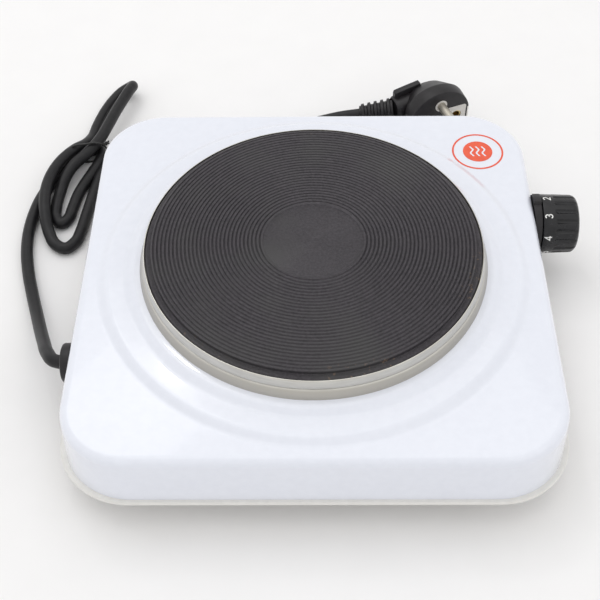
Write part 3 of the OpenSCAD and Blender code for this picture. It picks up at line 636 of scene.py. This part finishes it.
def on_band(u, v, angle, lift):
    """A dial point: u to the right, v up from the digit's foot, round the knob's band."""
    x = DIGIT_FOOT - v * DIGIT_SIZE
    r = knob_radius(x) + lift
    a = math.radians(angle) + (u - 1.4) * DIGIT_SIZE / KNOB_R
    return place(x, KNOB_Y - r * math.cos(a), AXIS_Z + r * math.sin(a))


def stroke_solid(bm, line, angle):
    """A flat ribbon along a line on the dial band, with a little thickness."""
    rows = []
    for i, (u, v) in enumerate(line):
        before = Vector(line[max(i - 1, 0)])
        after = Vector(line[min(i + 1, len(line) - 1)])
        here = Vector((u, v))
        into = (here - before).normalized() if i else (after - here).normalized()
        out = (after - here).normalized() if i < len(line) - 1 else into
        bisect = (into + out).normalized()
        side = Vector((-bisect.y, bisect.x)) * (STROKE / 2 / max(0.45, bisect.dot(into)))
        a, b = here + side, here - side
        rows.append([on_band(a.x, a.y, angle, 0.07), on_band(b.x, b.y, angle, 0.07),
                     on_band(b.x, b.y, angle, -0.1), on_band(a.x, a.y, angle, -0.1)])
    loft(bm, rows, cap_low=True, cap_high=True)


def make_knob():
    profile = [(KNOB_X + 4.5, 5.2), (KNOB_X, 5.2), (KNOB_X, KNOB_R - 0.5), (KNOB_X + 0.15, KNOB_R - 0.15),
               (KNOB_X + 0.5, KNOB_R)]
    profile += [(KNOB_X + x, knob_radius(KNOB_X + x)) for x in (3, 5.4, 5.8, 6.1, 6.5, 7, 9, 12)]
    profile += [(KNOB_END - 3 + 3 * math.sin(math.radians(a)), END_R - 3 * (1 - math.cos(math.radians(a))))
                for a in range(0, 91, 10)]
    profile += [(KNOB_END - 0.35, 8.6), (KNOB_END - 0.5, 8.0), (KNOB_END - 0.5, 0.5)]
    bm = bmesh.new()
    turned_x(bm, profile, KNOB_Y, AXIS_Z, segments=FLUTES * 20, radius=fluted)
    piece("dial_knob", bm, "knob_plastic", ["control_knob"], body="knob")
    bm = bmesh.new()
    for digit, angle in DIGIT_ANGLES.items():
        for line in digit_strokes()[digit]:
            stroke_solid(bm, line, angle)
    piece("dial_numbers", bm, "knob_plastic", body="knob", material=DIAL_WHITE)


def make_bezel():
    out_x = KNOB_X - 0.4
    tab_at, tab_half = math.radians(103), 4 / 14.4

    def tabbed(x, r, angle):
        off = abs((angle - tab_at + math.pi) % (2 * math.pi) - math.pi)
        rise = min(1, max(0, (tab_half - off) / 0.04))
        return r + 1.4 * rise if r > 12 else r

    def on_wall(x, y, z):
        z = max(z, RIM_HIGH + 0.3)
        return (max(x, wall_at(z) + 0.1), y, z)

    profile = [(100, 14.4), (out_x - 0.5, 14.4), (out_x - 0.15, 14.25), (out_x, 13.9), (out_x, 10.4),
               (out_x - 0.3, 10), (100, 10)]
    bm = bmesh.new()
    turned_x(bm, profile, KNOB_Y, AXIS_Z, segments=240, radius=tabbed, bend=on_wall, closed=True)
    piece("dial_surround", bm, "black_plastic", ["dial_bezel"])


def make_lens():
    wall = wall_at(AXIS_Z)
    profile = [(102, 3.3), (wall + 0.5, 3.3), (wall + 0.5, 4.3), (wall + 0.55, 4.4), (wall + 0.65, 4.3)]
    profile += [(wall + 0.65 + 0.35 * math.sin(math.radians(a)), 0.3 + 3.8 * math.cos(math.radians(a)))
                for a in range(0, 91, 15)]
    bm = bmesh.new()
    turned_x(bm, profile, LAMP_Y, AXIS_Z, segments=64)
    piece("lamp_lens", bm, "lens_plastic", ["indicator_lens"])


# ---------------------------------------------------------------- cord, gland, tie and plug
CORD_R = 3.2
CORD_EXIT = (-113.6, GLAND_Y, AXIS_Z)
ROUTE_OUT = [
    (-113.6, -46.5, 30.5), (-118.2, -44.6, 29.6), (-122.8, -38, 26.4), (-127.4, -27, 20),
    (-132.4, -14, 13.4), (-137.4, 0, 8), (-142.6, 15, 4.6), (-147.6, 31, 3.3), (-150.8, 45, 3.2),
    (-152.4, 60, 3.2), (-151.8, 74, 3.2),
]
ROUTE_HANK = [
    (-149.8, 86, 3.2), (-146, 97, 3.2), (-140.8, 107, 3.2), (-135.8, 114.2, 3.2), (-131.6, 119.4, 3.2),
    (-127.4, 124.6, 3.2), (-123.2, 125.2, 3.2), (-120.6, 121.4, 3.2), (-121.4, 114.8, 3.2),
    (-124.8, 104, 3.2), (-129.4, 90, 3.2), (-131.4, 77, 3.2), (-132.4, 70.8, 3.2),
    (-135.8, 67, 3.2), (-139.2, 70.8, 3.2),
    (-140.2, 79, 3.6), (-139.6, 89, 4.2), (-137.4, 98, 7.2), (-133.4, 106, 9.6), (-128.8, 112.6, 10),
    (-124.6, 119.6, 10), (-120.8, 128, 10.2), (-117.8, 138, 10.6), (-115, 148.6, 10.8),
    (-111.8, 159.6, 10.8), (-108.8, 169, 10.8), (-107.6, 174.4, 9.4), (-109.6, 177.6, 6.2),
    (-114.4, 175.6, 4.2), (-119.4, 168, 3.4), (-123.2, 158, 3.2), (-126, 146, 3.2), (-127.6, 135, 3.8),
    (-130, 126.4, 6.6), (-134.6, 118.6, 9.6), (-140.8, 108.6, 10.2), (-145, 96, 10),
    (-145.8, 83, 9.8), (-144.4, 71, 8), (-141, 59, 4.4), (-136.4, 51.4, 3.2), (-131, 48.8, 3.2),
    (-126.4, 53.2, 3.2), (-124.4, 61, 3.2), (-123.2, 71, 3.2), (-121.8, 84, 3.2),
    (-120.2, 97, 3.2), (-118.2, 108, 3.2),
]
ROUTE_BACK = [
    (-115.6, 117.5, 3.2), (-111, 126, 3.2), (-104, 132.5, 3.2), (-94.5, 137, 3.2),
    (-82, 140.2, 3.2), (-66, 142, 3.2), (-50, 142.2, 3.2), (-35, 141.8, 3.2), (-20, 141.2, 4),
    (-7, 140.9, 6.8), (6, 140.8, 10.8), (16, 140.8, 13.6), (27, 140.8, 15.5),
]


def smooth_curve(name, points, radius, cyclic=False):
    """A round tube along one smooth spline through the points."""
    data = bpy.data.curves.new(name, "CURVE")
    data.dimensions = "3D"
    data.bevel_depth = radius * MM
    data.bevel_resolution = 6
    data.resolution_u = 10
    data.use_fill_caps = True
    spline = data.splines.new("BEZIER")
    spline.bezier_points.add(len(points) - 1)
    spline.use_cyclic_u = cyclic
    count = len(points)
    places = [place(*p) for p in points]
    for i, knot in enumerate(spline.bezier_points):
        here = places[i]
        before = places[(i - 1) % count] if cyclic or i else here
        after = places[(i + 1) % count] if cyclic or i < count - 1 else here
        back, ahead = (here - before).length, (after - here).length
        if back and ahead:
            way = (here - before) / back * ahead + (after - here) / ahead * back
        else:
            way = after - before
        way.normalize()
        knot.handle_left_type = "FREE"
        knot.handle_right_type = "FREE"
        knot.co = here
        knot.handle_left = here - way * (back or ahead) / 3
        knot.handle_right = here + way * (ahead or back) / 3
    obj = bpy.data.objects.new(name, data)
    bpy.context.scene.collection.objects.link(obj)
    return obj


def curve_length(points, steps=16):
    """The length in metres of the smooth spline through the points."""
    probe = smooth_curve("probe", points, 1)
    knots = probe.data.splines[0].bezier_points
    total = 0.0
    for a, b in zip(knots, knots[1:]):
        last = a.co.copy()
        for i in range(1, steps + 1):
            t = i / steps
            here = ((1 - t) ** 3 * a.co + 3 * (1 - t) ** 2 * t * a.handle_right
                    + 3 * (1 - t) * t ** 2 * b.handle_left + t ** 3 * b.co)
            total += (here - last).length
            last = here
    bpy.data.objects.remove(probe)
    return total


def make_gland():
    face = CORD_EXIT[0]

    def with_lug(x, r, angle):
        off = abs((angle - math.radians(-50) + math.pi) % (2 * math.pi) - math.pi)
        return r + 1.3 * min(1, max(0, (0.22 - off) / 0.05)) if r > 8.5 else r

    def on_wall(x, y, z):
        return (min(x, -wall_at(z) - 0.1) if x > face + 0.01 and x < -105.5 else x, y, z)

    profile = [(-98, 6.2), (-109.2, 6.2), (-109.3, 9), (face + 1.2, 9), (face + 0.5, 8.7), (face + 0.1, 8),
               (face, 7.2), (face, 3.7), (face + 0.4, 3.3), (-98, 3.3)]
    bm = bmesh.new()
    turned_x(bm, profile, GLAND_Y, AXIS_Z, segments=160, radius=with_lug, bend=on_wall, closed=True)
    return piece("cord_bush", bm, "black_plastic", ["cord_gland"])


TIE_AT = (-126.8, 118.6)
TIE_TURN = math.radians(10)


def tie_point(along, z, off=0.0):
    """A point in the tie's upright plane: along it to the right, and off it to the back."""
    return (TIE_AT[0] + along * math.cos(TIE_TURN) - off * math.sin(TIE_TURN),
            TIE_AT[1] + along * math.sin(TIE_TURN) + off * math.cos(TIE_TURN), z)


def make_tie():
    loop = [(9, 1.6), (4, 0.7), (-4, 0.7), (-9.2, 2.4), (-11.4, 7), (-10.4, 11.6), (-7, 13.6), (-1, 13.8),
            (4.6, 13.8), (8.6, 11.4), (10.4, 7), (10.6, 3.8)]
    tie = smooth_curve("wire_tie", [tie_point(a, z) for a, z in loop], 0.6, cyclic=True)
    adopt(tie, "tie_wire", ["cord_tie"])
    ends = []
    for sign in (-1, 1):
        twist = [tie_point(8.4 + 0.7 * i, 11.6 + 0.3 * i + 0.7 * sign * math.cos(1.4 * i),
                           0.7 * sign * math.sin(1.4 * i)) for i in range(6)]
        ends.append(adopt(smooth_curve(f"tie_end_{len(ends) + 1}", twist, 0.5), "tie_wire"))
    return [tie, *ends]


PLUG_AT = (71.8, 132.6, 18.5)
PLUG_TURN = math.radians(22)
PLUG_R = 18.5


def plug_place(x, y, z):
    """Right along the plug's face, back from its face, and up from its middle."""
    return place(PLUG_AT[0] + x * math.cos(PLUG_TURN) - y * math.sin(PLUG_TURN),
                 PLUG_AT[1] + x * math.sin(PLUG_TURN) + y * math.cos(PLUG_TURN), PLUG_AT[2] + z)


def plug_ring(y, half_w, half_h, power=2.0, shift=0.0, count=96):
    """A ring round the plug's depth axis; a higher power makes it squarer."""
    ring = []
    for k in range(count):
        c, s = math.cos(2 * math.pi * k / count), math.sin(2 * math.pi * k / count)
        ring.append(plug_place(shift + half_w * math.copysign(abs(c) ** (2 / power), c), y,
                               half_h * math.copysign(abs(s) ** (2 / power), s)))
    return ring


def neck_ring(x, y, half_d, half_h, power=3.2, count=64):
    ring = []
    for k in range(count):
        c, s = math.cos(2 * math.pi * k / count), math.sin(2 * math.pi * k / count)
        ring.append(plug_place(x, y + half_d * math.copysign(abs(c) ** (2 / power), c),
                               half_h * math.copysign(abs(s) ** (2 / power), s)))
    return ring


def plug_rod(bm, x, z, profile, segments=48):
    """A solid of revolution about a line into the plug's face, from (depth, radius) points."""
    rings = [[plug_place(x + r * math.cos(2 * math.pi * k / segments), y,
                         z + r * math.sin(2 * math.pi * k / segments)) for k in range(segments)]
             for y, r in profile]
    loft(bm, rings, cap_low=True, cap_high=True)


def make_plug():
    bm = bmesh.new()
    stations = [(0, 17.9), (0.3, 18.35), (0.8, 18.5), (7.4, 18.5), (8, 18.35), (8.6, 18), (14, 15.1),
                (19.2, 12.3), (20.2, 11.5), (20.8, 10.2), (21, 8.6)]
    loft(bm, [plug_ring(y, r, r, 2 + 0.5 * y / 21) for y, r in stations], cap_low=True, cap_high=True)
    body = piece("plug_shell", bm, "black_plastic", ["plug_body"])
    neck = [(6, 14.5, 2.8, 8), (5, 15, 4.6, 9.6), (2, 15.8, 6, 10.6), (-4, 16.6, 6.7, 10.2),
            (-12, 17, 6.7, 8.9), (-18, 17, 6.6, 7.6), (-20.2, 17, 6.4, 7.2), (-21, 17, 5.8, 6.6)]
    bm = bmesh.new()
    loft(bm, [neck_ring(*station) for station in neck], cap_low=True, cap_high=True)
    unite(body, solid(bm))
    ridge = [(-4.4, 19.2, 1.2, 13.4), (-5, 19.2, 1.9, 14), (-12, 19.4, 2, 12.6), (-19.4, 19.6, 2, 11),
             (-20, 19.6, 1.4, 10.4)]
    bm = bmesh.new()
    loft(bm, [half_ring(*station) for station in ridge], cap_low=True, cap_high=True)
    unite(body, solid(bm))
    bm = bmesh.new()
    for side in (-1, 1):
        plug_rod(bm, 0, side * 9.5, [(-1, 2.45), (12.1, 2.45)])
    plug_rod(bm, 10, 0, [(-1, 3.1), (10, 3.1)])
    for side in (-1, 1):
        rings = [[plug_place(side * PLUG_R + dx, y, dz)
                  for dx, dz in ((-1.5, -4.2), (1.5, -4.2), (1.5, 4.2), (-1.5, 4.2))] for y in (-8, 8)]
        loft(bm, rings, cap_low=True, cap_high=True)
    cut(body, solid(bm))
    return [body, make_insert(), make_pins(), make_boot()]


def half_ring(x, y, half_d, top, low=2.0):
    """A narrow upright section along the neck, with a rounded top."""
    ring = [plug_place(x, y - half_d, low), plug_place(x, y - half_d, top - 0.8),
            plug_place(x, y - half_d + 0.3, top - 0.2), plug_place(x, y - half_d + 0.8, top),
            plug_place(x, y + half_d - 0.8, top), plug_place(x, y + half_d - 0.3, top - 0.2),
            plug_place(x, y + half_d, top - 0.8), plug_place(x, y + half_d, low)]
    return ring


def make_insert():
    """The pale core shows round the pins and the earth socket, just proud of the face."""
    bm = bmesh.new()
    corners = []
    for cx, cz, start in ((14.6, 5, 0), (4.4, 5, 90), (4.4, -5, 180), (14.6, -5, 270)):
        corners += arc((cx, cz), 1.4, start, start + 90, 6)
    loft(bm, [[plug_place(x, y, z) for x, z in corners] for y in (0.5, -0.1)], cap_low=True, cap_high=True)
    insert = piece("plug_insert", bm, "black_plastic", material=INSERT_GREY)
    for side in (-1, 1):
        bm = bmesh.new()
        plug_rod(bm, 0, side * 9.5, [(0.5, 3.6), (-0.1, 3.6)])
        unite(insert, solid(bm))
    bm = bmesh.new()
    for side in (-1, 1):
        plug_rod(bm, 0, side * 9.5, [(-1, 2.45), (2, 2.45)])
    plug_rod(bm, 10, 0, [(-1, 3.1), (2, 3.1)])
    cut(insert, solid(bm))
    return insert


def make_pins():
    bm = bmesh.new()
    tip = [(-19 + 2.4 * (1 - math.cos(math.radians(a))), max(0.2, 2.4 * math.sin(math.radians(a))))
           for a in range(0, 91, 15)]
    for side in (-1, 1):
        plug_rod(bm, 0, side * 9.5, tip + [(12, 2.4)])
    return piece("contact_pins", bm, "plated_brass", ["plug_pins"], material=PIN_METAL)


def make_boot():
    tilt = math.radians(9)
    end = ROUTE_BACK[-1]
    profile = [(0, 3.3), (0, 4.2), (0.3, 4.6)]
    for i in range(5):
        base = 4.6 + 0.3 * (i + 0.2)
        start = 1 + 3.7 * i
        profile += [(start, base), (start + 0.3, base + 0.9), (start + 1.7, base + 1.05),
                    (start + 2.1, base - 0.2), (start + 3.3, base - 0.1)]
    profile += [(19.2, 6.2), (19.2, 3.3)]
    rings = []
    for along, r in profile:
        ring = []
        for k in range(64):
            c, s = math.cos(2 * math.pi * k / 64), math.sin(2 * math.pi * k / 64)
            ring.append(place(end[0] + along * math.cos(tilt) - r * s * math.sin(tilt), end[1] + r * c,
                              end[2] + along * math.sin(tilt) + r * s * math.cos(tilt)))
        rings.append(ring)
    bm = bmesh.new()
    loft(bm, rings, closed=True)
    return piece("ribbed_boot", bm, "black_plastic", ["plug_boot"])


def make_cord():
    gland = make_gland()
    tie = make_tie()
    plug = make_plug()
    route = ROUTE_OUT + ROUTE_HANK + ROUTE_BACK
    cord = smooth_curve("mains_cord", route, CORD_R)
    adopt(cord, "cord_sheath", ["cord_body_side", "cord_hank", "cord_plug_side"])
    round(curve_length(route), 3)


# ---------------------------------------------------------------- mark on the cover
MARK_AT = (84.6, 77.2)
MARK_OUTER = 13.1
MARK_INNER = 12.2
DISC_R = 7.5
STEP_FOOT_R = 101.3
WAVE_HALF = 0.45


def make_mark():
    bm = bmesh.new()
    low, high = COVER_TOP + 0.005, COVER_TOP + 0.12

    def ring(r, z):
        """A ring round the mark's middle, kept off the pressed step."""
        points = []
        for k in range(192):
            x = MARK_AT[0] + r * math.cos(2 * math.pi * k / 192)
            y = MARK_AT[1] + r * math.sin(2 * math.pi * k / 192)
            away = math.hypot(x, y)
            grow = max(1, STEP_FOOT_R / away)
            points.append(place(x * grow, y * grow, z))
        return points

    edges = ((MARK_OUTER, low), (MARK_OUTER, high), (MARK_INNER, high), (MARK_INNER, low))
    loft(bm, [ring(r, z) for r, z in edges], closed=True)
    loft(bm, [ring(DISC_R, low), ring(DISC_R, high)], cap_low=True, cap_high=True)
    piece("hot_mark", bm, "mark_print", ["hot_surface_mark"])
    bm = bmesh.new()
    for shift in (-3, 0, 3):
        rows = []
        for k in range(10):
            y = -3.6 + 0.8 * k
            x = shift + 0.7 * math.sin(math.radians(y * 72))
            top = high + 0.05
            section = ((-WAVE_HALF, low), (WAVE_HALF, low), (WAVE_HALF, top), (-WAVE_HALF, top))
            rows.append([place(MARK_AT[0] + x + dx, MARK_AT[1] + y, z) for dx, z in section])
        loft(bm, rows, cap_low=True, cap_high=True)
    piece("hot_mark_waves", bm, "mark_print", material=MATERIALS["enamel"])


# ---------------------------------------------------------------- stage
def make_stage():
    bm = bmesh.new()
    half = 3.0
    rows = [[Vector((x, y, 0)) for x in (-half, 0, half)] for y in (-half, 0, half)]
    verts = [[bm.verts.new(p) for p in row] for row in rows]
    for i in range(2):
        for k in range(2):
            bm.faces.new((verts[i][k], verts[i][k + 1], verts[i + 1][k + 1], verts[i + 1][k]))
    floor = mesh_object("floor", bm)
    floor.data.materials.append(surface("floor_pale", (0.90, 0.895, 0.895), (0.885, 0.88, 0.88),
                                        rough=(0.7, 0.8), grain=40, bump=0.02))


def area_light(name, at, aim, size, power):
    """A round light; its place, aim and size are in metres, its power in watts."""
    data = bpy.data.lights.new(name, "AREA")
    data.shape = "DISK"
    data.size = size
    data.energy = power
    lamp = bpy.data.objects.new(name, data)
    lamp.location = at
    lamp.rotation_mode = "QUATERNION"
    lamp.rotation_quaternion = (Vector(aim) - Vector(at)).to_track_quat("-Z", "Y")
    bpy.context.scene.collection.objects.link(lamp)


def make_lights():
    world = bpy.data.worlds.new("studio")
    world.use_nodes = True
    world.node_tree.nodes["Background"].inputs["Color"].default_value = (1.0, 0.995, 0.99, 1)
    world.node_tree.nodes["Background"].inputs["Strength"].default_value = 0.85
    bpy.context.scene.world = world
    bpy.context.scene.view_settings.view_transform = "Standard"
    area_light("key", (-0.7, 0.5, 1.5), (0, 0, 0), 0.9, 1.5)
    area_light("sky", (-0.15, 0.3, 1.6), (0, 0, 0), 2.0, 5)
    area_light("glint", (-0.385, 0.861, 1.5), (-0.08, -0.09, 0.045), 0.13, 0.8)
    area_light("fill", (0.9, -0.7, 1.1), (0, 0, 0), 1.2, 1.0)


make_camera()
make_cord()
make_cover()
make_pan()
make_feet()
make_plate()
make_ring()
make_knob()
make_bezel()
make_lens()
make_mark()

# The pieces that no detailed piece stands for keep their CAD shape and get their slot's material
SLOT_OF = {row["node"]: row["material_slot"] for row in frame["record"]["subparts"]}
for name, node in frame["nodes"].items():
    if node.hide_render:
        continue
    mat = MATERIALS[SLOT_OF[name]]
    node.data.materials.clear()
    node.data.materials.append(mat)

make_stage()
make_lights()
